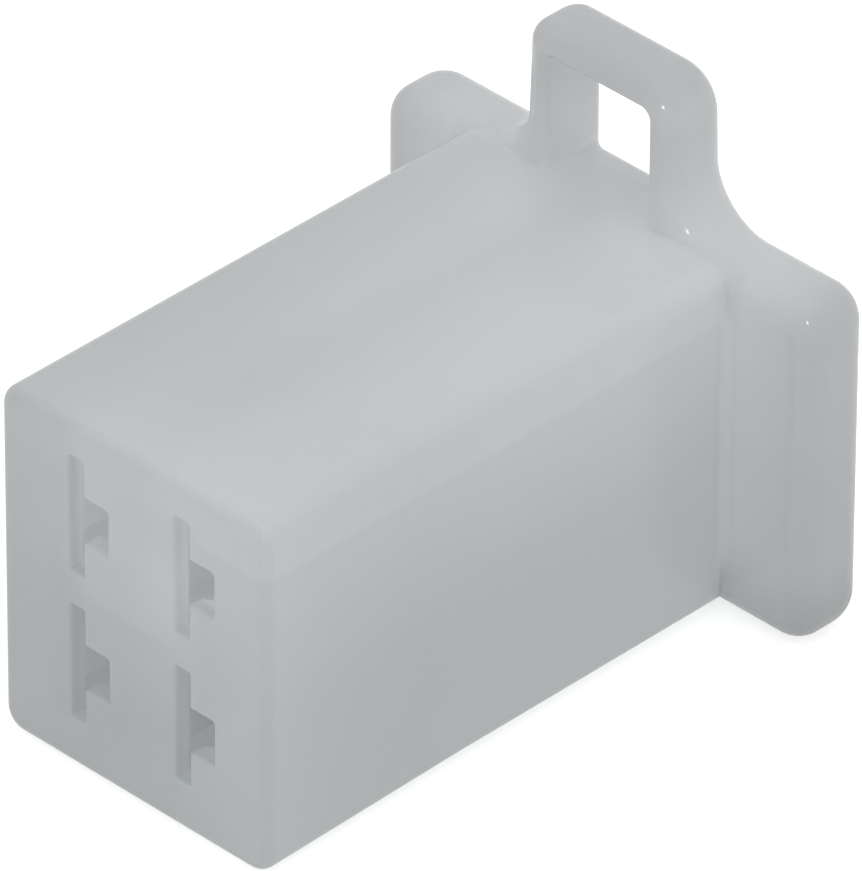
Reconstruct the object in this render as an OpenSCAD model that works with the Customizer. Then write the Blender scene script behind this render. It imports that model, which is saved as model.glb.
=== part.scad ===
// Two by two power connector housing, wire side: one moulding in natural nylon.
// X runs across the columns, Y from the mating face to the wire side, Z up.
// The origin is at the middle of the underside. All sizes are in millimetres.

/* [Body] */
// Width of the body, across the two columns
body_w = 15.7; // [15.4:0.1:17]
// Height of the body
body_h = 17.5; // [17.3:0.1:18.5]
// Length of the body in front of the rear plate
body_l = 27.1; // [22:0.1:34]
// Radius of the four long edges
long_edge_r = 1.1; // [0.4:0.1:1.6]
// Radius of the edge around the mating face
face_edge_r = 0.6; // [0.2:0.1:1]
// Height of the relief under the body, behind its front foot
belly_lift = 0.2; // [0:0.05:0.4]
// Length over which the underside rises to that relief
belly_run = 11.6; // [6:0.1:18]

/* [Rear plate] */
// Width of the plate, over both ears
plate_w = 25.4; // [21:0.1:30]
// Height of the plate, without the latch loop
plate_h = 17.3; // [17:0.1:17.5]
// Thickness of the plate and of the loop
plate_t = 3.9; // [3.4:0.1:5]
// Corner radius of the ears
ear_r = 1.8; // [1.7:0.1:3]
// Edge radius on the mating side of the plate
plate_front_r = 1.25; // [0.5:0.05:1.5]
// Edge radius on the wire side of the plate
plate_rear_r = 1.65; // [0.5:0.05:1.65]

/* [Latch loop] */
// Height of the loop over the plate
loop_h = 6.95; // [6.5:0.05:9]
// Width of the loop at its root
loop_base_w = 9.05; // [8.8:0.05:10]
// Width of the loop at its top
loop_top_w = 8.6; // [8.4:0.05:9.5]
// Top corner radius on the left
loop_left_r = 0.9; // [0.5:0.1:2.3]
// Top corner radius on the right
loop_right_r = 2.3; // [0.5:0.1:2.5]
// Radius of the hollow where the loop meets the ears
loop_root_r = 2.55; // [1:0.05:3]
// Width of the latch window
window_w = 5.9; // [5:0.1:6.2]
// Height of the window's sill over the underside
window_sill = 17.0; // [16.8:0.1:17.3]
// Height of the window
window_h = 6.0; // [5:0.1:6]
// Upper corner radius of the window
window_top_r = 0.4; // [0.2:0.1:1.5]
// Edge radius of the window on the mating side
window_front_r = 0.55; // [0.2:0.05:0.8]
// Edge radius of the window on the wire side
window_rear_r = 0.85; // [0.2:0.05:1]
// Length by which the body's top runs into the window, as its latch step
window_step = 1.3; // [1.3:0.05:2.5]

/* [Contact layout] */
// Distance between the two columns
column_pitch = 6.2; // [6.2:0.1:6.6]
// Distance between the two rows
row_pitch = 7.5; // [7.4:0.1:7.9]
// Height of the lower row's centre over the underside
row_height = 5.4; // [5.2:0.1:5.5]

/* [Mating slots] */
// Thickness of the wall behind the mating face
face_wall = 0.85; // [0.6:0.05:1.5]
// Width of the upright slot that takes the tab
tab_slot_w = 0.85; // [0.6:0.05:1.1]
// Height of the upright slot
tab_slot_h = 5.8; // [4:0.1:5.8]
// Sideways offset of the upright slot from its cavity's centre
tab_offset = -0.2; // [-0.4:0.05:0.2]
// Reach of the release slot, from the cavity's centre
release_reach = 1.65; // [1:0.05:1.9]
// Height of the release slot
release_h = 2.25; // [1.4:0.05:3]

/* [Contact cavities] */
// Width of the cavity round the wire crimp
cavity_w = 4.6; // [4.4:0.1:4.7]
// Height of the cavity
cavity_h = 5.9; // [5.8:0.1:6]
// Depth of the narrow socket end, from the mating face
socket_depth = 10.5; // [9:0.1:13]
// Reach of the socket end to the right of the cavity's centre
socket_reach = 0.65; // [0.4:0.05:1]
// Depth at which the contact's lance rests on its shoulder
shoulder_depth = 8.5; // [6:0.1:8.8]
// Width of the bevel round each wire entry
entry_bevel = 0.25; // [0.1:0.05:0.25]

/* [Hidden] */
nylon = [0.72, 0.73, 0.74];
overall_l = body_l + plate_t;
// Steps in each rounded corner, and in each rounded edge.
corner_steps = 8;
per_corner = corner_steps + 1;
edge_steps = 5;
// Length by which a cut runs past the face it opens.
past = 1;
// Distance by which a flare's rim stands off the face it opens, so that the two never share a plane.
clear = 0.03;
// The smallest corner radius that an inset outline keeps.
least_r = 0.05;

// Corner points of the plate with its loop, [x, z, radius], anticlockwise from the front.
plate_corners = [
    [-plate_w / 2, 0, ear_r],
    [plate_w / 2, 0, ear_r],
    [plate_w / 2, plate_h, ear_r],
    [loop_base_w / 2, plate_h, loop_root_r],
    [loop_top_w / 2, plate_h + loop_h, loop_right_r],
    [-loop_top_w / 2, plate_h + loop_h, loop_left_r],
    [-loop_base_w / 2, plate_h, loop_root_r],
    [-plate_w / 2, plate_h, ear_r],
];

// Corner points of the latch window.
window_corners = [
    [-window_w / 2, window_sill, least_r],
    [window_w / 2, window_sill, least_r],
    [window_w / 2, window_sill + window_h, window_top_r],
    [-window_w / 2, window_sill + window_h, window_top_r],
];

// Corner points of the body's section, with its underside raised by a lift.
function body_corners(lift) = [
    [-body_w / 2, lift, long_edge_r],
    [body_w / 2, lift, long_edge_r],
    [body_w / 2, body_h, long_edge_r],
    [-body_w / 2, body_h, long_edge_r],
];

function point(corner) = [corner[0], corner[1]];
function unit(v) = v / norm(v);
function cross_z(a, b) = a[0] * b[1] - a[1] * b[0];

// One rounded corner of an outline whose sides have all moved inwards by inset.
// A convex corner loses that much radius, and a hollow one gains it.
function rounded_corner(corners, i, inset) =
    let (
        count = len(corners),
        here = point(corners[i]),
        along_in = unit(here - point(corners[(i + count - 1) % count])),
        along_out = unit(point(corners[(i + 1) % count]) - here),
        turn = cross_z(along_in, along_out),
        side = sign(turn),
        radius = max(corners[i][2] - side * inset, least_r),
        centre = here + (inset + side * radius) * (along_out - along_in) / turn,
        first = atan2(-side * along_in[0], side * along_in[1]),
        sweep = atan2(turn, along_in * along_out)
    )
    [for (step = [0:corner_steps])
        let (angle = first + sweep * step / corner_steps)
        centre + radius * [cos(angle), sin(angle)]];

// The whole outline, inset, as a ring of points at depth y.
function ring(corners, inset, y) =
    [for (i = [0:len(corners) - 1])
        for (p = rounded_corner(corners, i, inset))
            [p[0], y, p[1]]];

// The rings that round off an edge of radius r: inset is r at the face and 0 at depth r.
function front_rings(corners, r, y) =
    [for (step = [0:edge_steps])
        let (angle = 90 * step / edge_steps)
        ring(corners, r * (1 - sin(angle)), y + r * (1 - cos(angle)))];

function rear_rings(corners, r, y) =
    [for (step = [edge_steps:-1:0])
        let (angle = 90 * step / edge_steps)
        ring(corners, r * (1 - sin(angle)), y - r * (1 - cos(angle)))];

// A closed skin over rings that all have the same number of points, from front to rear.
// Each entry of ends is a convex piece of the flat end faces, as places on a ring.
module skin(rings, ends) {
    count = len(rings[0]);
    last = len(rings) - 1;
    front_end = [for (piece = ends) [for (i = [len(piece) - 1:-1:0]) piece[i]]];
    rear_end = [for (piece = ends) [for (i = piece) last * count + i]];
    bands = [for (band = [0:last - 1])
        for (i = [0:count - 1])
            let (
                here = band * count + i,
                next = band * count + (i + 1) % count
            )
            [here, next, next + count, here + count]];
    polyhedron(
        points = [for (one = rings) each one],
        faces = concat(front_end, rear_end, bands),
        convexity = 6
    );
}

// The body: a block with soft edges, running into the plate far enough to make the window's step.
module body_block() {
    skin(concat(
        front_rings(body_corners(0), face_edge_r, 0),
        [
            ring(body_corners(belly_lift), 0, belly_run),
            ring(body_corners(belly_lift), 0, body_l + window_step),
        ]
    ), [[for (i = [0:4 * per_corner - 1]) i]]);
}

// The rear plate with its two ears and the latch loop, all in one thickness.
module rear_plate() {
    skin(concat(
        front_rings(plate_corners, plate_front_r, body_l),
        rear_rings(plate_corners, plate_rear_r, overall_l)
    ), concat(
        // The ears, the loop above its two hollows, and the strips between the hollows.
        [
            concat([for (i = [0:3 * per_corner]) i], [for (i = [7 * per_corner - 1:8 * per_corner - 1]) i]),
            [for (i = [4 * per_corner - 1:6 * per_corner]) i],
        ],
        [for (i = [0:corner_steps - 1])
            let (right = 3 * per_corner + i, left = 7 * per_corner - 1 - i)
            [right, right + 1, left - 1, left]]
    ));
}

// The latch window, flared where its edges are round on both sides of the plate.
module latch_window() {
    // The flare is the same rounding turned outwards, so its insets are negative.
    function flare(r, y, way) =
        [for (step = [0:edge_steps])
            let (angle = 90 * step / edge_steps)
            ring(window_corners, -r * (1 - sin(angle)), y + way * (r * (1 - cos(angle)) - clear))];
    front = flare(window_front_r, body_l, 1);
    rear = flare(window_rear_r, overall_l, -1);
    skin(concat(
        [ring(window_corners, -window_front_r, body_l - past)],
        front,
        [for (i = [edge_steps:-1:0]) rear[i]],
        [ring(window_corners, -window_rear_r, overall_l + past)]
    ), [[for (i = [0:4 * per_corner - 1]) i]]);
}

// A box given by its lowest and highest corner.
module span(low, high) {
    translate(low)
        cube(high - low);
}

// One contact cavity, about its centre line at x = 0, z = 0, with y measured from the mating face.
module contact_cavity() {
    stem_left = tab_offset - tab_slot_w / 2;
    // Upright slot for the tab, and beside it the slot that lets a tool reach the lance.
    span([stem_left, -past, -tab_slot_h / 2], [stem_left + tab_slot_w, face_wall + past, tab_slot_h / 2]);
    span([tab_offset, -past, -release_h / 2], [release_reach, shoulder_depth, release_h / 2]);
    // Socket end, and the full cavity round the crimps behind it.
    span([-cavity_w / 2, face_wall, -cavity_h / 2], [socket_reach, socket_depth + past, cavity_h / 2]);
    span([-cavity_w / 2, socket_depth, -cavity_h / 2], [cavity_w / 2, overall_l + past, cavity_h / 2]);
    // Bevel that leads the contact in from the wire side.
    entry_lead_in();
}

// A four-sided funnel, drawn on its own axis and laid down along Y.
module entry_lead_in() {
    mouth = 2 * (entry_bevel + past);
    hull() {
        translate([0, overall_l - entry_bevel, 0])
            cube([cavity_w, 0.01, cavity_h], center = true);
        translate([0, overall_l + past, 0])
            cube([cavity_w + mouth, 0.01, cavity_h + mouth], center = true);
    }
}

module housing() {
    color(nylon)
        translate([0, -overall_l / 2, 0])
            difference() {
                union() {
                    body_block();
                    difference() {
                        rear_plate();
                        latch_window();
                    }
                }
                for (column = [-1, 1], row = [0, 1])
                    translate([column * column_pitch / 2, 0, row_height + row * row_pitch])
                        contact_cavity();
            }
}

housing();
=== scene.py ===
import math
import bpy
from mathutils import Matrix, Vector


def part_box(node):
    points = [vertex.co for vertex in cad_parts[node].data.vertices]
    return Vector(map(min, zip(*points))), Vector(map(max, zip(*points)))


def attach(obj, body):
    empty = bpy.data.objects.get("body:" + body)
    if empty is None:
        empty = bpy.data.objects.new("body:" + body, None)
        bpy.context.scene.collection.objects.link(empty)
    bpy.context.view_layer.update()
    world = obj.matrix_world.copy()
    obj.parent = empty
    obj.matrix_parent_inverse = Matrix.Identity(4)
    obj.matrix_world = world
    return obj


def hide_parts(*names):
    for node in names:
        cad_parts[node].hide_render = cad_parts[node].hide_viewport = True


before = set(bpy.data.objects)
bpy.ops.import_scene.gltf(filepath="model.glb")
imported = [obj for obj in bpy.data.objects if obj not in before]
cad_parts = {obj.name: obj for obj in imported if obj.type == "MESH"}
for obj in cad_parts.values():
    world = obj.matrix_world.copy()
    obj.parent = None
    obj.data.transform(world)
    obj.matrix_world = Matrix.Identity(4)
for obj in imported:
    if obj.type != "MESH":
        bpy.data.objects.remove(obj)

from types import SimpleNamespace

import bmesh
import bpy
from mathutils import Matrix, Vector

bl_info = {
    "name": "Connector housing in natural nylon",
    "version": (1, 0, 0),
    "blender": (4, 5, 0),
    "location": "View3D > Sidebar > Housing",
    "description": "Two by two power connector housing with a latch loop, in natural nylon, on a stage",
    "category": "Object",
}

MM = 0.001
LOW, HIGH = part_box("housing")
WHITE = (1.0, 1.0, 1.0, 1.0)

# Steps along a rounded corner of an outline, along a rounded edge, and along both in the small slots.
CORNER_STEPS = 16
EDGE_STEPS = 12
SLOT_STEPS = 5

# A cutter runs past the surface that it opens. A joined shape laps into its neighbour, or is tucked under its
# skin.
PAST = 1.0 * MM
LAP = 0.5 * MM
TUCK = 0.05 * MM

# Points closer than the weld distance become one, and edges under the sharp angle are shaded smoothly.
WELD = 0.002 * MM
SHARP_ANGLE = math.radians(32)
FLAT_FACE_WEIGHT = 100

# The floor is a slab that reaches this far each way from the middle, in metres.
FLOOR_REACH = 2.0
FLOOR_THICKNESS = 0.002


def length(name, description, mm):
    """A length, given in millimetres."""
    return bpy.props.FloatProperty(
        name=name, description=description, default=mm * MM, min=-1.0, precision=5, unit="LENGTH")


def point(name, description, mm):
    """A point, given in millimetres."""
    return bpy.props.FloatVectorProperty(
        name=name, description=description, default=tuple(value * MM for value in mm), size=3, precision=5,
        subtype="TRANSLATION", unit="LENGTH")


def band(name, description, reach, fade):
    """How far a tone reaches from where its band starts, and the length of its fade, in millimetres."""
    return bpy.props.FloatVectorProperty(
        name=name, description=description, default=(reach * MM, fade * MM), size=2, precision=5,
        unit="LENGTH")


def camera_size(name, description, mm):
    """A size that the camera itself takes in millimetres."""
    return bpy.props.FloatProperty(
        name=name, description=description, default=mm, min=1.0, subtype="DISTANCE_CAMERA")


def amount(name, description, value, low=0.0, high=1.0):
    """A plain number between low and high."""
    return bpy.props.FloatProperty(name=name, description=description, default=value, min=low, max=high)


def angle(name, description, degrees):
    """An angle, given in degrees."""
    return bpy.props.FloatProperty(
        name=name, description=description, default=math.radians(degrees), subtype="ANGLE", unit="ROTATION")


def linear(hex_colour):
    """A colour written as sRGB hex, as the linear values that a shader takes."""
    def channel(value):
        return value / 12.92 if value <= 0.04045 else ((value + 0.055) / 1.055) ** 2.4
    return tuple(channel(int(hex_colour[i:i + 2], 16) / 255) for i in (1, 3, 5))


def colour(name, description, hex_colour):
    """A colour, given as sRGB hex."""
    return bpy.props.FloatVectorProperty(
        name=name, description=description, default=linear(hex_colour), size=3, min=0, max=1, subtype="COLOR")


# Sizes and looks that a user would change.

class HousingSizes(bpy.types.PropertyGroup):
    """Sizes of the body, the rear plate with its ears, and the latch loop with its window"""
    body_w: length("Body width", "Width of the body across its two columns", 15.7)
    body_h: length("Body height", "Height of the body", 17.5)
    plate_t: length("Plate thickness", "Thickness of the rear plate and its loop", 3.9)
    long_edge_r: length("Long edge radius", "Radius of the body's four long edges", 1.1)
    face_edge_r: length("Face edge radius", "Radius of the edge round the mating face", 0.6)
    belly_lift: length("Belly lift", "Relief under the body behind its front foot", 0.2)
    belly_run: length("Belly run", "Length over which the underside rises to its relief", 11.6)
    plate_h: length("Plate height", "Height of the plate without its loop", 17.3)
    ear_r: length("Ear radius", "Corner radius of the two ears", 1.8)
    plate_front_r: length("Plate front radius", "Edge radius on the plate's mating side", 1.25)
    plate_rear_r: length("Plate rear radius", "Edge radius on the plate's wire side", 1.65)
    loop_base_w: length("Loop root width", "Width of the latch loop at its root", 9.05)
    loop_top_w: length("Loop top width", "Width of the latch loop at its top", 8.6)
    loop_left_r: length("Loop left radius", "Top left corner radius of the loop", 0.9)
    loop_right_r: length("Loop right radius", "Top right corner radius of the loop", 2.3)
    loop_root_r: length("Loop root radius", "Hollow where the loop meets the ears", 2.55)
    window_w: length("Window width", "Width of the latch window", 5.9)
    window_sill: length("Window sill", "Height of the window's sill", 17.0)
    window_h: length("Window height", "Height of the window", 6.0)
    window_top_r: length("Window corner radius", "Upper corner radius of the window", 0.4)
    window_front_r: length("Window front radius", "Edge radius of the window on the mating side", 0.55)
    window_rear_r: length("Window rear radius", "Edge radius of the window on the wire side", 0.85)
    window_step: length("Window step", "Length by which the body's top runs into the window", 1.8)
    root_r: length("Root radius", "Hollow between the body's sides and the plate", 0.5)
    least_r: length("Least radius", "Smallest radius that a moulded corner keeps", 0.05)


class CavitySizes(bpy.types.PropertyGroup):
    """Sizes of the four contact cavities and their slots, and the pitches between them"""
    column_pitch: length("Column pitch", "Distance between the two columns", 6.2)
    row_pitch: length("Row pitch", "Distance between the two rows", 7.5)
    row_height: length("Lower row height", "Height of the lower row over the underside", 5.4)
    face_wall: length("Face wall", "Thickness of the wall behind the mating face", 0.85)
    tab_slot_w: length("Tab slot width", "Width of the upright slot that takes the tab", 0.85)
    tab_slot_h: length("Tab slot height", "Height of the upright slot", 5.8)
    tab_offset: length("Tab slot offset", "Sideways offset of the upright slot from its cavity", -0.2)
    release_reach: length("Release slot reach", "Reach of the release slot from the cavity's centre", 1.65)
    release_h: length("Release slot height", "Height of the release slot", 2.25)
    slot_corner_r: length("Slot corner radius", "Radius in the corners of the slots", 0.12)
    slot_rim_r: length("Slot rim radius", "Radius of the slots' rims on the mating face", 0.14)
    cavity_w: length("Cavity width", "Width of the cavity round the wire crimp", 4.6)
    cavity_h: length("Cavity height", "Height of the cavity", 5.9)
    socket_depth: length("Socket depth", "Depth of the narrow socket end from the mating face", 10.5)
    socket_reach: length("Socket reach", "Reach of the socket end to the right of the centre", 0.65)
    shoulder_depth: length("Shoulder depth", "Depth of the shoulder that the contact's lance rests on", 8.5)
    entry_bevel: length("Entry bevel", "Bevel round each wire entry", 0.25)


class NylonLook(bpy.types.PropertyGroup):
    """Colours of the nylon and its skin, and how strongly each painted light and shade of the outside shows
    """
    # Two copies of the nylon's colour: the darker one over the cavities, and a paler painted light colour on
    # the roof, webs and root, standing in for light carried through the milky nylon.
    body: colour("Nylon", "Colour of the natural nylon where cavities lie behind it", "#E4E7E7")
    painted_light: colour("Painted light colour", "Colour of the thick roof and webs, which hold more of the light", "#ECECEE")
    # Painted light: the cavity walls are painted paler than the outside for the light that gathers in them,
    # and the lower row's walls a little darker, as painted shade.
    inside: colour("Cavity walls", "Colour of the walls inside the cavities, where light gathers", "#FAFBFC")
    lower_inside: colour("Lower cavity walls", "Colour of the walls inside the lower row", "#EFF0F1")
    through: amount("Milkiness", "Share of the light that comes through from the far side of a wall", 0.44)
    # Painted light and shade: the shares below paint the paler colour over parts of the outside, and the
    # shades and lifts darken or brighten stretches of it where the light falls less or more.
    roof_light: amount("Roof light", "Share of the painted light colour along the sides of the roof", 0.6)
    top_light: amount("Top light", "Share of the painted light colour on the top", 0.75)
    face_light: amount("Face light", "Share of the painted light colour between the upper slots", 0.95)
    web_light: amount("Web light", "Share of the painted light colour on the web between the columns", 0.25)
    ear_light: amount("Ear light", "Share of the painted light colour on the upper plate, near the body", 0.25)
    root_light: amount("Root light", "Share of the painted light colour where the body meets the plate", 0.5)
    left_shade: amount("Left shade", "Darkening of the body towards its left side", 0.05)
    row_shade: amount("Lower row shade", "Darkening of the walls round the lower row", 0.015)
    rear_lift: amount("Rear lift", "Brightening towards the plate, which keeps some light off", 0.045)
    face_lift: amount("Face lift", "Brightening of the mating face between its columns", 0.05)
    plate_shade: amount("Plate shade", "Darkening of the rear plate and its loop, away from the body", 0.085)
    plate_spared: amount("Plate spared", "Share of the plate's shade that is left out near the body", 0.65)
    ear_shade: amount("Ear shade", "Darkening of the ears beside the body", 0.03)
    rim_shade: amount("Rim shade", "Darkening of the ears towards their outer edges", 0.08)
    root_shade: amount("Root shade", "Darkening of the hollow where the body meets the plate", 0.03)
    foot_shade: amount("Foot shade", "Further darkening of the plate towards its foot", 0.14)
    loop_end_share: amount("Loop end share", "Share of the foot's shade at the top of the loop", 0.5)
    roughness: amount("Roughness", "Roughness of the satin moulded skin", 0.16)
    gloss: amount("Gloss", "Strength of the reflections on the skin", 0.35)
    ior: amount("IOR", "Refractive index of nylon", 1.53, 1.0, 2.5)
    skin_depth: amount("Skin relief", "Strength of the fine moulded texture", 0.05)
    grain: length("Grain", "Size of the grain that is drawn on the skin", 0.25)
    grain_depth: length("Grain depth", "Height of the grain on the skin at full relief", 0.05)


class PaintedLightBands(bpy.types.PropertyGroup):
    """Where each painted light and shade of the nylon ends, and over what length it fades"""
    roof_reach: length("Roof reach", "How far below the upper cavities' tops the roof starts", 0.95)
    slot_clear: amount("Slot edge", "Share of the face wall in which the slots keep the outside's tone", 0.3)
    cavity: band("Cavity", "Past each cavity's walls, sideways and upwards", 0.1, 0.1)
    lower_cavity: band("Lower cavity", "Up from the web between the rows, inside the cavities", -0.5, 1.0)
    plate: band("Plate", "Forward of the plate's mating side", 0.1, 0.2)
    step_side: band("Step side", "Sideways past the window, for the step of the body's top", 0.0, 0.6)
    step_foot: band("Step foot", "Up from the window's sill, for that step", 0.2, 0.2)
    step_head: band("Step head", "Up from the body's top, for that step", 0.1, 0.2)
    face: band("Face", "Back from the mating face", 0.3, 0.8)
    face_web: band("Face web", "Sideways from the middle, for the web between the columns", 1.0, 2.0)
    face_broad: band("Face middle", "Sideways from the middle, for the face between the slots", 1.8, 2.8)
    face_upper: band("Face upper half", "Up from the web between the rows, for the face light", -0.8, 1.4)
    face_foot: band("Face foot", "Up from the underside, where the face lift starts", 4.0, 4.0)
    face_head: band("Face head", "Up from the web between the rows, where the face lift ends", 3.0, 3.0)
    roof: band("Roof", "Up from the roof's start, where the sides of the roof start", -0.1, 0.5)
    top: band("Top", "Up from the roof's start, where the top starts", 1.9, 0.5)
    right: band("Right", "Sideways from the middle, where the roof and top start to hold light", -5.5, 4.5)
    left: band("Left", "Sideways from the middle, where the shade of the left side ends", -7.5, 6.0)
    lower_row: band("Lower row", "Up from the web between the rows, for the lower row's shade", -0.8, 2.2)
    root: band("Root", "Either way from the plate's mating side, for the root's light", 0.6, 6.0)
    rear: band("Rear", "Forward of the plate's mating side, for the rear lift", 6.0, 20.0)
    beside: band("Beside", "Sideways past the body, where the ears are near it", 0.0, 5.0)
    above: band("Above", "Up from the body's top, where the plate is near it", 0.0, 5.0)
    ear_foot: band("Ear foot", "Up from the roof's start, where the ear light starts", -3.5, 3.0)
    ear_rim: band("Ear rim", "Inwards from the ears' outer edges", 0.1, 1.7)
    hollow_depth: band("Hollow depth", "Either way from the plate's mating side, for the hollow", 0.5, 0.3)
    hollow_outside: band("Hollow outside", "Sideways past the body, where the hollow ends", 0.45, 0.3)
    hollow_inside: band("Hollow inside", "Sideways past the body, where the hollow starts", -0.2, 0.2)
    foot: band("Foot", "Up from the plate's foot", 0.5, 4.0)
    loop_end: band("Loop end", "Down from the top of the loop", 0.3, 1.0)


class StageLook(bpy.types.PropertyGroup):
    """The floor, the camera and the lights"""
    floor: colour("Floor", "Colour of the pale floor", "#ECECEC")
    floor_lift: amount("Floor lift", "Brightening of the floor that only the camera and reflections see", 0.6)
    azimuth: angle("Azimuth", "Turn of the camera round the part", 44.551)
    elevation: angle("Elevation", "Height of the camera over the part", 34.988)
    roll: angle("Roll", "Turn of the camera round its own axis", 0.276)
    distance: length("Distance", "Distance of the camera from its target", 632.25)
    lens: camera_size("Lens", "Focal length of the camera", 624.08)
    sensor: camera_size("Sensor", "Width of the camera's sensor", 36.0)
    near: length("Near", "Nearest distance that the camera sees", 10.0)
    far: length("Far", "Farthest distance that the camera sees", 20000.0)
    target: point("Target", "Point that the camera and the lights look at", (0.0, 2.0, 9.964))
    overhead: amount("Overhead light", "Power of the soft light over the part", 0.08, 0.0, 10.0)
    overhead_place: point("Overhead place", "Place of that light from the target", (50.0, 30.0, 240.0))
    overhead_size: length("Overhead size", "Width of that light", 220.0)
    lamp: amount("Camera-side light", "Power of the small light beside the camera", 0.035, 0.0, 10.0)
    lamp_size: length("Camera-side size", "Width of that light", 50.0)
    glint: amount("Glint light", "Power of the lamp that shows only as glints on edges", 0.4, 0.0, 20.0)
    glint_size: length("Glint size", "Width of that lamp", 30.0)
    lamp_distance: length("Lamp distance", "Distance of both lamps from the target", 500.0)
    lamp_rise: length("Lamp rise", "Height of both lamps over the camera's line of sight", 10.0)
    world: amount("Room light", "Strength of the even light from all round", 0.638, 0.0, 5.0)


def plate_front(sizes):
    """Depth of the plate's mating side."""
    return HIGH.y - sizes.plate_t


def web_height(cavity):
    """Height of the middle of the web between the two rows."""
    return cavity.row_height + cavity.row_pitch / 2


# Outlines with rounded corners, moved inwards or outwards as a whole.

def rounded_corner(corners, i, inset, least_r, steps):
    """Points along one rounded corner of an outline whose sides have moved inwards by inset."""
    here = Vector(corners[i][:2])
    along_in = (here - Vector(corners[i - 1][:2])).normalized()
    along_out = (Vector(corners[(i + 1) % len(corners)][:2]) - here).normalized()
    turn = along_in.x * along_out.y - along_in.y * along_out.x
    side = 1 if turn > 0 else -1
    radius = max(corners[i][2] - side * inset, least_r)
    centre = here + (inset + side * radius) * (along_out - along_in) / turn
    first = math.atan2(-side * along_in.x, side * along_in.y)
    sweep = math.atan2(turn, along_in.dot(along_out))
    return [
        centre + radius * Vector((math.cos(first + sweep * s / steps), math.sin(first + sweep * s / steps)))
        for s in range(steps + 1)
    ]


def ring(corners, inset, y, least_r, steps=CORNER_STEPS):
    """An outline of (x, z, radius) corners at the depth y, as points."""
    return [
        (p.x, y, p.y)
        for i in range(len(corners))
        for p in rounded_corner(corners, i, inset, least_r, steps)
    ]


def quarter_turn(steps):
    """Angles from 0 to a quarter turn."""
    return [math.pi / 2 * s / steps for s in range(steps + 1)]


def rounded_rings(corners, r, y, way, least_r, steps=CORNER_STEPS, edge_steps=EDGE_STEPS):
    """Rings of an edge rounded by r from the flat end at y, going into the part along way."""
    return [
        ring(corners, r * (1 - math.sin(a)), y + way * abs(r) * (1 - math.cos(a)), least_r, steps)
        for a in quarter_turn(edge_steps)
    ]


def lofted(name, rings):
    """A closed mesh over rings of equal count, from front to rear."""
    mesh = bpy.data.meshes.new(name)
    work = bmesh.new()
    rows = [[work.verts.new(p) for p in one] for one in rings]
    count = len(rows[0])
    for a, b in zip(rows, rows[1:]):
        for i in range(count):
            j = (i + 1) % count
            work.faces.new((a[i], b[i], b[j], a[j]))
    work.faces.new(rows[0])
    work.faces.new(list(reversed(rows[-1])))
    bmesh.ops.recalc_face_normals(work, faces=work.faces)
    work.to_mesh(mesh)
    work.free()
    piece = bpy.data.objects.new(name, mesh)
    bpy.context.scene.collection.objects.link(piece)
    return piece


def box(name, low, high):
    """A block between two opposite corners."""
    x0, y0, z0 = low
    x1, y1, z1 = high
    return lofted(name, [[(x0, y, z0), (x1, y, z0), (x1, y, z1), (x0, y, z1)] for y in (y0, y1)])


def bake(piece):
    """Turns a piece's modifiers into its plain mesh."""
    shown = piece.evaluated_get(bpy.context.evaluated_depsgraph_get())
    old = piece.data
    piece.data = bpy.data.meshes.new_from_object(shown)
    piece.modifiers.clear()
    bpy.data.meshes.remove(old)


def carve(piece, tool, operation="DIFFERENCE"):
    """Cuts tool from piece, or joins it on, and takes the tool away."""
    step = piece.modifiers.new(operation.title(), "BOOLEAN")
    step.operation = operation
    step.solver = "MANIFOLD"
    step.object = tool
    bake(piece)
    bpy.data.objects.remove(tool)


def soften(piece):
    """Shades the rounded edges smoothly and keeps the flat faces flat."""
    work = bmesh.new()
    work.from_mesh(piece.data)
    bmesh.ops.remove_doubles(work, verts=work.verts, dist=WELD)
    for face in work.faces:
        face.smooth = True
    for edge in work.edges:
        edge.smooth = len(edge.link_faces) == 2 and edge.calc_face_angle(0.0) < SHARP_ANGLE
    work.to_mesh(piece.data)
    work.free()
    weighted = piece.modifiers.new("Flat faces", "WEIGHTED_NORMAL")
    weighted.weight = FLAT_FACE_WEIGHT
    weighted.keep_sharp = True
    bake(piece)


# Materials.

# A Mix node's colour sockets share their names with its other kinds, so they go by number.
FIRST_COLOUR = 6
SECOND_COLOUR = 7
MIXED_COLOUR = 2


def node(tree, kind, settings=None):
    """Adds a node, with its properties and inputs by name or number. An input takes a value or an output."""
    made = tree.nodes.new(kind)
    for key, value in (settings or {}).items():
        if isinstance(value, bpy.types.NodeSocket):
            tree.links.new(value, made.inputs[key])
        elif isinstance(key, str) and hasattr(made, key):
            setattr(made, key, value)
        else:
            made.inputs[key].default_value = value
    return made


def product(tree, first, *others):
    """Numbers and outputs, multiplied."""
    for other in others:
        first = node(tree, "ShaderNodeMath", {"operation": "MULTIPLY", 0: first, 1: other}).outputs[0]
    return first


def largest(tree, first, *others):
    """The largest of several numbers and outputs."""
    for other in others:
        first = node(tree, "ShaderNodeMath", {"operation": "MAXIMUM", 0: first, 1: other}).outputs[0]
    return first


def topped_up(tree, mask, share, base=1.0):
    """The base, plus a share of the mask. A negative share takes from it."""
    return node(tree, "ShaderNodeMath", {"operation": "MULTIPLY_ADD", 0: mask, 1: share, 2: base}).outputs[0]


def away(tree, value, start):
    """How far value is from start, on either side."""
    gap = node(tree, "ShaderNodeMath", {"operation": "SUBTRACT", 0: value, 1: start})
    return node(tree, "ShaderNodeMath", {"operation": "ABSOLUTE", 0: gap.outputs[0]}).outputs[0]


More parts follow.
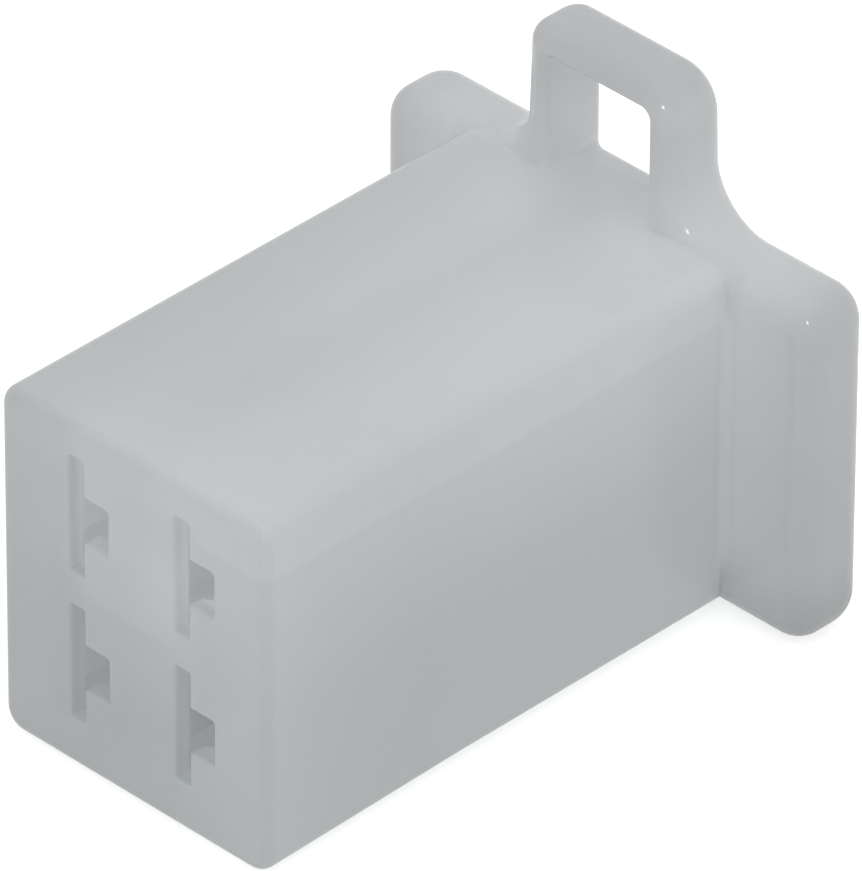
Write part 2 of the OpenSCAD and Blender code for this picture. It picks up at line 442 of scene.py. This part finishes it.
def within(tree, value, span, start=0.0):
    """Is 1 until value is a band's reach past start, and fades to 0 over the band's fade."""
    reach, fade = span
    return node(tree, "ShaderNodeMapRange", {
        "interpolation_type": "SMOOTHSTEP",
        "Value": value,
        "From Min": start + reach,
        "From Max": start + reach + fade,
        "To Min": 1.0,
        "To Max": 0.0,
    }).outputs[0]


def outside_of(tree, mask):
    """Is 1 where the mask is 0, and 0 where it is 1."""
    return topped_up(tree, mask, -1.0)


def beyond(tree, value, span, start=0.0):
    """Is 0 where within is 1, and 1 where it is 0."""
    return outside_of(tree, within(tree, value, span, start))


def cavity_mask(tree, x, y, z, bands, cavity):
    """Is 1 on the walls of the cavities and their slots, which are painted paler as painted light, and 0 on
    the outside.
    """
    across = away(tree, away(tree, x, 0.0), cavity.column_pitch / 2)
    upright = away(tree, away(tree, z, web_height(cavity)), cavity.row_pitch / 2)
    slot_edge = (bands.slot_clear * cavity.face_wall, (1 - bands.slot_clear) * cavity.face_wall)
    return product(
        tree,
        within(tree, across, bands.cavity, cavity.cavity_w / 2),
        within(tree, upright, bands.cavity, cavity.cavity_h / 2),
        beyond(tree, away(tree, y, LOW.y), slot_edge),
    )


def painted_light_masks(tree, x, y, z, bands, cavity, sizes):
    """The stretches of the outside where light or shade is painted, from the sizes that build the part."""
    web = web_height(cavity)
    roof = web + cavity.row_pitch / 2 + cavity.cavity_h / 2 - bands.roof_reach
    width = away(tree, x, 0.0)
    depth = away(tree, y, HIGH.y)
    from_joint = away(tree, depth, sizes.plate_t)
    # The body's top runs on into the window between the legs of the loop, and gets the body's painted light
    # and shade there.
    step = product(
        tree,
        within(tree, width, bands.step_side, sizes.window_w / 2),
        beyond(tree, z, bands.step_foot, sizes.window_sill),
        within(tree, z, bands.step_head, sizes.body_h),
    )
    plate = product(tree, within(tree, depth, bands.plate, sizes.plate_t), outside_of(tree, step))
    body = outside_of(tree, plate)
    face = within(tree, away(tree, y, LOW.y), bands.face)
    broad = product(tree, face, within(tree, width, bands.face_broad))
    right = product(tree, body, beyond(tree, x, bands.right))
    beside = within(tree, width, bands.beside, sizes.body_w / 2)
    return SimpleNamespace(
        plate=plate,
        roof=product(tree, beyond(tree, z, bands.roof, roof), right),
        top=product(tree, beyond(tree, z, bands.top, roof), right),
        face_web=product(tree, face, within(tree, width, bands.face_web)),
        face_upper=product(tree, broad, beyond(tree, z, bands.face_upper, web)),
        face_middle=product(
            tree, broad, beyond(tree, z, bands.face_foot), within(tree, z, bands.face_head, web)),
        left=product(tree, within(tree, x, bands.left), body),
        lower_row=within(tree, z, bands.lower_row, web),
        root=within(tree, from_joint, bands.root),
        rear=within(tree, depth, bands.rear, sizes.plate_t),
        near=product(tree, beside, within(tree, z, bands.above, sizes.body_h)),
        over_foot=beyond(tree, z, bands.ear_foot, roof),
        ears=product(tree, plate, outside_of(tree, beside)),
        rim=product(tree, plate, within(tree, away(tree, width, HIGH.x), bands.ear_rim)),
        hollow=product(
            tree,
            within(tree, from_joint, bands.hollow_depth),
            within(tree, width, bands.hollow_outside, sizes.body_w / 2),
            beyond(tree, width, bands.hollow_inside, sizes.body_w / 2),
        ),
        foot=within(tree, z, bands.foot),
        loop_end=within(tree, away(tree, z, HIGH.z), bands.loop_end),
    )


def painted_light_and_shade(tree, x, y, z, look, bands, cavity, sizes):
    """The outside's colour with painted light and shade: the thick roof, webs and root are painted paler than
    the walls over the cavities, for the light that milky nylon carries there, and painted shades and lifts
    darken or brighten the rest.
    """
    on = painted_light_masks(tree, x, y, z, bands, cavity, sizes)
    painted_light = largest(
        tree,
        product(tree, on.roof, look.roof_light),
        product(tree, on.plate, on.near, on.over_foot, look.ear_light),
        product(tree, on.top, look.top_light),
        product(tree, on.face_upper, look.face_light),
        product(tree, on.face_web, look.web_light),
    )
    painted_light = topped_up(tree, on.root, look.root_light, painted_light)
    painted_light_mix = node(tree, "ShaderNodeMix", {
        "data_type": "RGBA",
        "Factor": painted_light,
        FIRST_COLOUR: (*look.body, 1.0),
        SECOND_COLOUR: (*look.painted_light, 1.0),
    }).outputs[MIXED_COLOUR]
    plate_away = product(tree, on.plate, topped_up(tree, on.near, -look.plate_spared))
    ends = product(tree, on.plate, topped_up(tree, on.loop_end, look.loop_end_share, on.foot))
    # Painted shade and light: darker round the lower row, on the left, on the plate away from the body, on
    # the ears and their rims, in the root's hollow and towards the foot; lighter towards the plate and on the
    # middle of the mating face.
    shade = product(
        tree,
        topped_up(tree, on.lower_row, -look.row_shade),
        topped_up(tree, on.left, -look.left_shade),
        topped_up(tree, on.rear, look.rear_lift),
        topped_up(tree, on.face_middle, look.face_lift),
        topped_up(tree, plate_away, -look.plate_shade),
        topped_up(tree, on.ears, -look.ear_shade),
        topped_up(tree, on.rim, -look.rim_shade),
        topped_up(tree, on.hollow, -look.root_shade),
        topped_up(tree, ends, -look.foot_shade),
    )
    return node(tree, "ShaderNodeVectorMath", {"operation": "SCALE", 0: painted_light_mix, "Scale": shade}).outputs[0]


def natural_nylon(look, bands, cavity, sizes):
    """Natural polyamide 66, injection moulded: milky, so its walls pass light on, with a satin mould skin."""
    material = bpy.data.materials.new("natural_nylon_moulded")
    material.use_nodes = True
    tree = material.node_tree
    tree.nodes.clear()
    place = node(tree, "ShaderNodeTexCoord").outputs["Object"]
    # The skin's real grain of about 0.05 mm is too fine to show, so it is drawn coarser.
    grain = node(tree, "ShaderNodeTexNoise", {
        "Vector": place,
        "Scale": 1 / look.grain,
        "Detail": 1.0,
        "Roughness": 0.6,
    })
    relief = node(tree, "ShaderNodeBump", {
        "Height": grain.outputs["Fac"],
        "Strength": look.skin_depth,
        "Distance": look.grain_depth,
    })
    # Painted light: the cavity walls are painted paler than the outside, for the light that gathers in the
    # cavities, and the lower row's walls a little darker, as painted shade.
    x, y, z = node(tree, "ShaderNodeSeparateXYZ", {"Vector": place}).outputs
    lower = within(tree, z, bands.lower_cavity, web_height(cavity))
    inside = node(tree, "ShaderNodeMix", {
        "data_type": "RGBA",
        "Factor": lower,
        FIRST_COLOUR: (*look.inside, 1.0),
        SECOND_COLOUR: (*look.lower_inside, 1.0),
    }).outputs[MIXED_COLOUR]
    tone = node(tree, "ShaderNodeMix", {
        "data_type": "RGBA",
        "Factor": cavity_mask(tree, x, y, z, bands, cavity),
        FIRST_COLOUR: painted_light_and_shade(tree, x, y, z, look, bands, cavity, sizes),
        SECOND_COLOUR: inside,
    }).outputs[MIXED_COLOUR]
    skin = node(tree, "ShaderNodeBsdfPrincipled", {
        "Base Color": tone,
        "Normal": relief.outputs["Normal"],
        "Roughness": look.roughness,
        "IOR": look.ior,
        "Specular IOR Level": look.gloss,
    })
    # A thin wall lets light through, so the cavities glow instead of going black.
    passed_on = node(tree, "ShaderNodeBsdfTranslucent", {"Color": tone})
    milky = node(tree, "ShaderNodeMixShader", {0: look.through, 1: skin.outputs[0], 2: passed_on.outputs[0]})
    node(tree, "ShaderNodeOutputMaterial", {"Surface": milky.outputs[0]})
    return material


def seen_directly(tree):
    """Is 1 for what the camera, reflections and refractions see, and 0 for the light on the part."""
    path = node(tree, "ShaderNodeLightPath")
    rays = ("Is Camera Ray", "Is Glossy Ray", "Is Transmission Ray")
    return largest(tree, *(path.outputs[ray] for ray in rays))


def pale_floor(look):
    """A matt floor that is seen as plain white where no shadow falls."""
    material = bpy.data.materials.new("studio_floor_matt")
    material.use_nodes = True
    tree = material.node_tree
    tree.nodes.clear()
    matt = node(tree, "ShaderNodeBsdfDiffuse", {"Color": (*look.floor, 1.0)})
    lift = node(tree, "ShaderNodeEmission", {"Color": WHITE, "Strength": look.floor_lift})
    lifted = node(tree, "ShaderNodeAddShader", {0: matt.outputs[0], 1: lift.outputs[0]})
    seen = seen_directly(tree)
    mixed = node(tree, "ShaderNodeMixShader", {0: seen, 1: matt.outputs[0], 2: lifted.outputs[0]})
    node(tree, "ShaderNodeOutputMaterial", {"Surface": mixed.outputs[0]})
    return material


# The pieces.

def body_block(sizes):
    """The body from its mating face to inside the plate, relieved under its rear half."""
    plate = plate_front(sizes)

    def section(lift, high):
        half, r = sizes.body_w / 2, sizes.long_edge_r
        return [(-half, lift, r), (half, lift, r), (half, high, r), (-half, high, r)]

    relieved = section(sizes.belly_lift, sizes.body_h)
    # In the plate the body dives under the ears, so that no corner of it shows behind them.
    dived = section(sizes.belly_lift, sizes.plate_h - TUCK)
    face = rounded_rings(section(0.0, sizes.body_h), sizes.face_edge_r, LOW.y, 1, sizes.least_r)
    return lofted("housing_moulding", face + [
        ring(relieved, 0.0, LOW.y + sizes.belly_run, sizes.least_r),
        ring(relieved, 0.0, plate, sizes.least_r),
        ring(dived, 0.0, plate + sizes.plate_front_r, sizes.least_r),
    ])


def rear_plate(sizes):
    """The plate, ears and latch loop as one outline, rounded over on both sides, with the window cut."""
    front, rear = plate_front(sizes), HIGH.y
    outline = [
        (LOW.x, 0.0, sizes.ear_r),
        (HIGH.x, 0.0, sizes.ear_r),
        (HIGH.x, sizes.plate_h, sizes.ear_r),
        (sizes.loop_base_w / 2, sizes.plate_h, sizes.loop_root_r),
        (sizes.loop_top_w / 2, HIGH.z, sizes.loop_right_r),
        (-sizes.loop_top_w / 2, HIGH.z, sizes.loop_left_r),
        (-sizes.loop_base_w / 2, sizes.plate_h, sizes.loop_root_r),
        (LOW.x, sizes.plate_h, sizes.ear_r),
    ]
    back = lofted("rear_plate", rounded_rings(outline, sizes.plate_front_r, front, 1, sizes.least_r)
                  + rounded_rings(outline, sizes.plate_rear_r, rear, -1, sizes.least_r)[::-1])

    half, sill, head = sizes.window_w / 2, sizes.window_sill, sizes.window_sill + sizes.window_h
    hole = [
        (-half, sill, sizes.least_r),
        (half, sill, sizes.least_r),
        (half, head, sizes.window_top_r),
        (-half, head, sizes.window_top_r),
    ]
    # A negative radius flares the window outwards.
    front_r, rear_r = -sizes.window_front_r, -sizes.window_rear_r
    carve(back, lofted("window_cutter", [ring(hole, front_r, front - PAST, sizes.least_r)]
                       + rounded_rings(hole, front_r, front, 1, sizes.least_r)
                       + rounded_rings(hole, rear_r, rear, -1, sizes.least_r)[::-1]
                       + [ring(hole, rear_r, rear + PAST, sizes.least_r)]))
    return back


def window_step(sizes):
    """The step by which the body's top runs on into the window, between the legs of the loop."""
    plate = plate_front(sizes)
    side_lap, thickness = 0.3 * MM, 1.2 * MM
    half = sizes.window_w / 2 + side_lap
    low = (-half, plate - LAP, sizes.body_h - thickness)
    return box("window_step", low, (half, plate + sizes.window_step, sizes.body_h))


def plate_root(sizes):
    """The hollow between the body's sides and the plate, which fades out at its top and its foot."""
    plate = plate_front(sizes)
    half, r = sizes.body_w / 2, sizes.root_r
    foot, head = 1.5 * MM, sizes.body_h - sizes.long_edge_r
    fade, lead = 1.5 * MM, 0.2 * MM

    def bulged(y, reach):
        """The body's sides between foot and head, bulged out by a reach that fades away at both ends."""
        right = [(half, foot), (half + reach, foot + fade), (half + reach, head - fade), (half, head)]
        return [(x, y, z) for x, z in right + [(-x, z) for x, z in reversed(right)]]

    curve = [bulged(plate - r * (1 - math.sin(a)), r * (1 - math.cos(a))) for a in quarter_turn(EDGE_STEPS)]
    return lofted("plate_root", [bulged(plate - r - lead, -TUCK)] + curve + [bulged(plate + LAP, r)])


def cavity_cutter(sizes, cavity):
    """One cavity about its own centre line: shaped slot, socket end, crimp cavity and bevelled wire entry."""
    front, rear = LOW.y, HIGH.y
    wall, socket = front + cavity.face_wall, front + cavity.socket_depth
    left = cavity.tab_offset - cavity.tab_slot_w / 2
    right = cavity.tab_offset + cavity.tab_slot_w / 2
    tall, low = cavity.tab_slot_h / 2, cavity.release_h / 2
    reach, r, rim = cavity.release_reach, cavity.slot_corner_r, -cavity.slot_rim_r
    slot = [(left, -tall, r), (right, -tall, r), (right, -low, r), (reach, -low, r),
            (reach, low, r), (right, low, r), (right, tall, r), (left, tall, r)]
    cutter = lofted("cavity_cutter", [ring(slot, rim, front - PAST, sizes.least_r, SLOT_STEPS)]
                    + rounded_rings(slot, rim, front, 1, sizes.least_r, SLOT_STEPS, SLOT_STEPS)
                    + [ring(slot, 0.0, wall + PAST, sizes.least_r, SLOT_STEPS)])

    # The release channel overlaps the slot, and runs on behind the face wall to the shoulder.
    channel_left, channel_front = left + 0.1 * MM, front + cavity.face_wall / 2
    half_w, half_h, bevel = cavity.cavity_w / 2, cavity.cavity_h / 2, cavity.entry_bevel
    for name, near, far in (
        ("release_channel", (channel_left, channel_front, -low), (reach, front + cavity.shoulder_depth, low)),
        ("socket_end", (-half_w, wall, -half_h), (cavity.socket_reach, socket + PAST, half_h)),
        ("crimp_cavity", (-half_w, socket, -half_h), (half_w, rear + PAST, half_h)),
    ):
        carve(cutter, box(name, near, far), "UNION")
    mouth = [
        [(-x, y, -z), (x, y, -z), (x, y, z), (-x, y, z)]
        for x, y, z in (
            (half_w, rear - bevel, half_h),
            (half_w + bevel + PAST, rear + PAST, half_h + bevel + PAST),
        )
    ]
    carve(cutter, lofted("wire_entry", mouth), "UNION")
    return cutter


def cavity_grid_tree():
    """Repeats the cavity cutter on two columns and two rows, and cuts the housing with all four."""
    tree = bpy.data.node_groups.new("Cavity grid", "GeometryNodeTree")
    face = tree.interface
    for name, kind in (
        ("Geometry", "NodeSocketGeometry"),
        ("Cutter", "NodeSocketObject"),
        ("Column pitch", "NodeSocketFloat"),
        ("Row pitch", "NodeSocketFloat"),
        ("Row height", "NodeSocketFloat"),
        ("Nylon", "NodeSocketMaterial"),
    ):
        face.new_socket(name, in_out="INPUT", socket_type=kind)
    face.new_socket("Geometry", in_out="OUTPUT", socket_type="NodeSocketGeometry")
    given = node(tree, "NodeGroupInput").outputs
    grid = node(tree, "GeometryNodeMeshGrid", {
        "Vertices X": 2,
        "Vertices Y": 2,
        "Size X": given["Column pitch"],
        "Size Y": given["Row pitch"],
    })
    # The grid's middle is half a row pitch over the lower row.
    height = topped_up(tree, given["Row pitch"], 0.5, given["Row height"])
    middle = node(tree, "ShaderNodeCombineXYZ", {"Z": height})
    stood = node(tree, "GeometryNodeTransform", {
        "Geometry": grid.outputs["Mesh"],
        "Rotation": (math.pi / 2, 0.0, 0.0),
        "Translation": middle.outputs[0],
    })
    cutter = node(tree, "GeometryNodeObjectInfo", {"transform_space": "ORIGINAL", "Object": given["Cutter"]})
    spots = node(tree, "GeometryNodeInstanceOnPoints", {
        "Points": stood.outputs["Geometry"],
        "Instance": cutter.outputs["Geometry"],
    })
    real = node(tree, "GeometryNodeRealizeInstances", {"Geometry": spots.outputs["Instances"]})
    cut = node(tree, "GeometryNodeMeshBoolean", {
        "operation": "DIFFERENCE",
        "solver": "MANIFOLD",
        "Mesh 1": given["Geometry"],
        "Mesh 2": real.outputs["Geometry"],
    })
    whole = node(tree, "GeometryNodeRealizeInstances", {"Geometry": cut.outputs["Mesh"]})
    dressed = node(tree, "GeometryNodeSetMaterial", {
        "Geometry": whole.outputs["Geometry"],
        "Material": given["Nylon"],
    })
    node(tree, "NodeGroupOutput", {"Geometry": dressed.outputs["Geometry"]})
    return tree


def cut_cavities(body, cutter, cavity, nylon):
    """Cuts all four cavities with the one cutter, and takes the cutter away."""
    grid = body.modifiers.new("Cavities", "NODES")
    grid.node_group = cavity_grid_tree()
    values = {
        "Cutter": cutter,
        "Column pitch": cavity.column_pitch,
        "Row pitch": cavity.row_pitch,
        "Row height": cavity.row_height,
        "Nylon": nylon,
    }
    for item in grid.node_group.interface.items_tree:
        if item.in_out == "INPUT" and item.name in values:
            grid[item.identifier] = values[item.name]
    bake(body)
    bpy.data.objects.remove(cutter)


class HOUSING_OT_mould(bpy.types.Operator):
    """Builds the moulded housing: body, rear plate with ears and latch loop, window, and the four cavities"""
    bl_idname = "housing.mould"
    bl_label = "Mould the housing"

    def execute(self, context):
        scene = context.scene
        sizes, cavity = scene.housing_sizes, scene.cavity_sizes
        body = body_block(sizes)
        carve(body, rear_plate(sizes), "UNION")
        carve(body, window_step(sizes), "UNION")
        carve(body, plate_root(sizes), "UNION")
        cutter = cavity_cutter(sizes, cavity)
        nylon = natural_nylon(scene.nylon_look, scene.tone_bands, cavity, sizes)
        cut_cavities(body, cutter, cavity, nylon)
        soften(body)
        body.data.materials.clear()
        body.data.materials.append(nylon)
        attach(body, "root")
        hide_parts("housing")
        return {"FINISHED"}


# The stage.

def white_room(look):
    """Even light from all round, with white where the camera, reflections and refractions look into it."""
    world = bpy.data.worlds.new("white_room")
    world.use_nodes = True
    tree = world.node_tree
    tree.nodes.clear()
    room = node(tree, "ShaderNodeBackground", {"Color": WHITE, "Strength": look.world})
    white = node(tree, "ShaderNodeBackground", {"Color": WHITE, "Strength": 1.0})
    seen = seen_directly(tree)
    mixed = node(tree, "ShaderNodeMixShader", {0: seen, 1: room.outputs[0], 2: white.outputs[0]})
    node(tree, "ShaderNodeOutputWorld", {"Surface": mixed.outputs[0]})
    return world


def soft_light(name, place, target, size, watts):
    """A round lamp that faces the target."""
    light = bpy.data.lights.new(name, "AREA")
    light.shape = "DISK"
    light.size = size
    light.energy = watts
    lamp = bpy.data.objects.new(name, light)
    bpy.context.scene.collection.objects.link(lamp)
    lamp.location = place
    lamp.rotation_euler = (target - place).to_track_quat("-Z", "Y").to_euler()
    return lamp


def camera_at(look, target, back):
    """The camera, on the line from the target along back, rolled about that line."""
    lens = bpy.data.cameras.new("camera")
    lens.lens = look.lens
    lens.sensor_width = look.sensor
    lens.clip_start, lens.clip_end = look.near, look.far
    camera = bpy.data.objects.new("camera", lens)
    bpy.context.scene.collection.objects.link(camera)
    across = Vector((math.cos(look.azimuth), math.sin(look.azimuth), 0.0))
    up = back.cross(across)
    x = across * math.cos(look.roll) + up * math.sin(look.roll)
    y = up * math.cos(look.roll) - across * math.sin(look.roll)
    stand = Matrix((x, y, back)).transposed().to_4x4()
    stand.translation = target + back * look.distance
    camera.matrix_world = stand
    return camera


class HOUSING_OT_stage(bpy.types.Operator):
    """Sets the floor, the lights, the white room and the camera"""
    bl_idname = "housing.stage"
    bl_label = "Set the stage"

    def execute(self, context):
        scene = context.scene
        look = scene.stage_look
        scene.view_settings.view_transform = "Standard"

        low, high = (-FLOOR_REACH, -FLOOR_REACH, -FLOOR_THICKNESS), (FLOOR_REACH, FLOOR_REACH, 0.0)
        floor = box("studio_floor", low, high)
        floor.data.materials.append(pale_floor(look))
        scene.world = white_room(look)

        target = Vector(look.target)
        level = math.cos(look.elevation)
        back = Vector((
            math.sin(look.azimuth) * level,
            -math.cos(look.azimuth) * level,
            math.sin(look.elevation),
        ))
        overhead = target + Vector(look.overhead_place)
        beside = target + back * look.lamp_distance + Vector((0.0, 0.0, look.lamp_rise))
        soft_light("overhead_softbox", overhead, target, look.overhead_size, look.overhead)
        soft_light("camera_side_lamp", beside, target, look.lamp_size, look.lamp)
        glint = soft_light("glint_lamp", beside, target, look.glint_size, look.glint)
        glint.visible_diffuse = False
        glint.visible_transmission = False
        scene.camera = camera_at(look, target, back)
        return {"FINISHED"}


class HOUSING_PT_panel(bpy.types.Panel):
    """Lists the sizes and looks, and the steps that make the housing and its stage"""
    bl_idname = "HOUSING_PT_panel"
    bl_label = "Connector housing"
    bl_space_type = "VIEW_3D"
    bl_region_type = "UI"
    bl_category = "Housing"

    def draw(self, context):
        layout = self.layout
        for group in GROUPS:
            settings = getattr(context.scene, group)
            section = layout.box()
            for key in settings.__annotations__:
                section.prop(settings, key)
        for step in STEPS:
            layout.operator("housing." + step)


GROUPS = {
    "housing_sizes": HousingSizes,
    "cavity_sizes": CavitySizes,
    "nylon_look": NylonLook,
    "tone_bands": PaintedLightBands,
    "stage_look": StageLook,
}
CLASSES = (*GROUPS.values(), HOUSING_OT_mould, HOUSING_OT_stage, HOUSING_PT_panel)
STEPS = ("mould", "stage")


def register():
    for one in CLASSES:
        bpy.utils.register_class(one)
    for name, group in GROUPS.items():
        setattr(bpy.types.Scene, name, bpy.props.PointerProperty(type=group))


def unregister():
    for name in GROUPS:
        delattr(bpy.types.Scene, name)
    for one in reversed(CLASSES):
        bpy.utils.unregister_class(one)


def main():
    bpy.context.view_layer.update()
    register()
    for step in STEPS:
        getattr(bpy.ops.housing, step)()


if __name__ == "__main__":
    main()
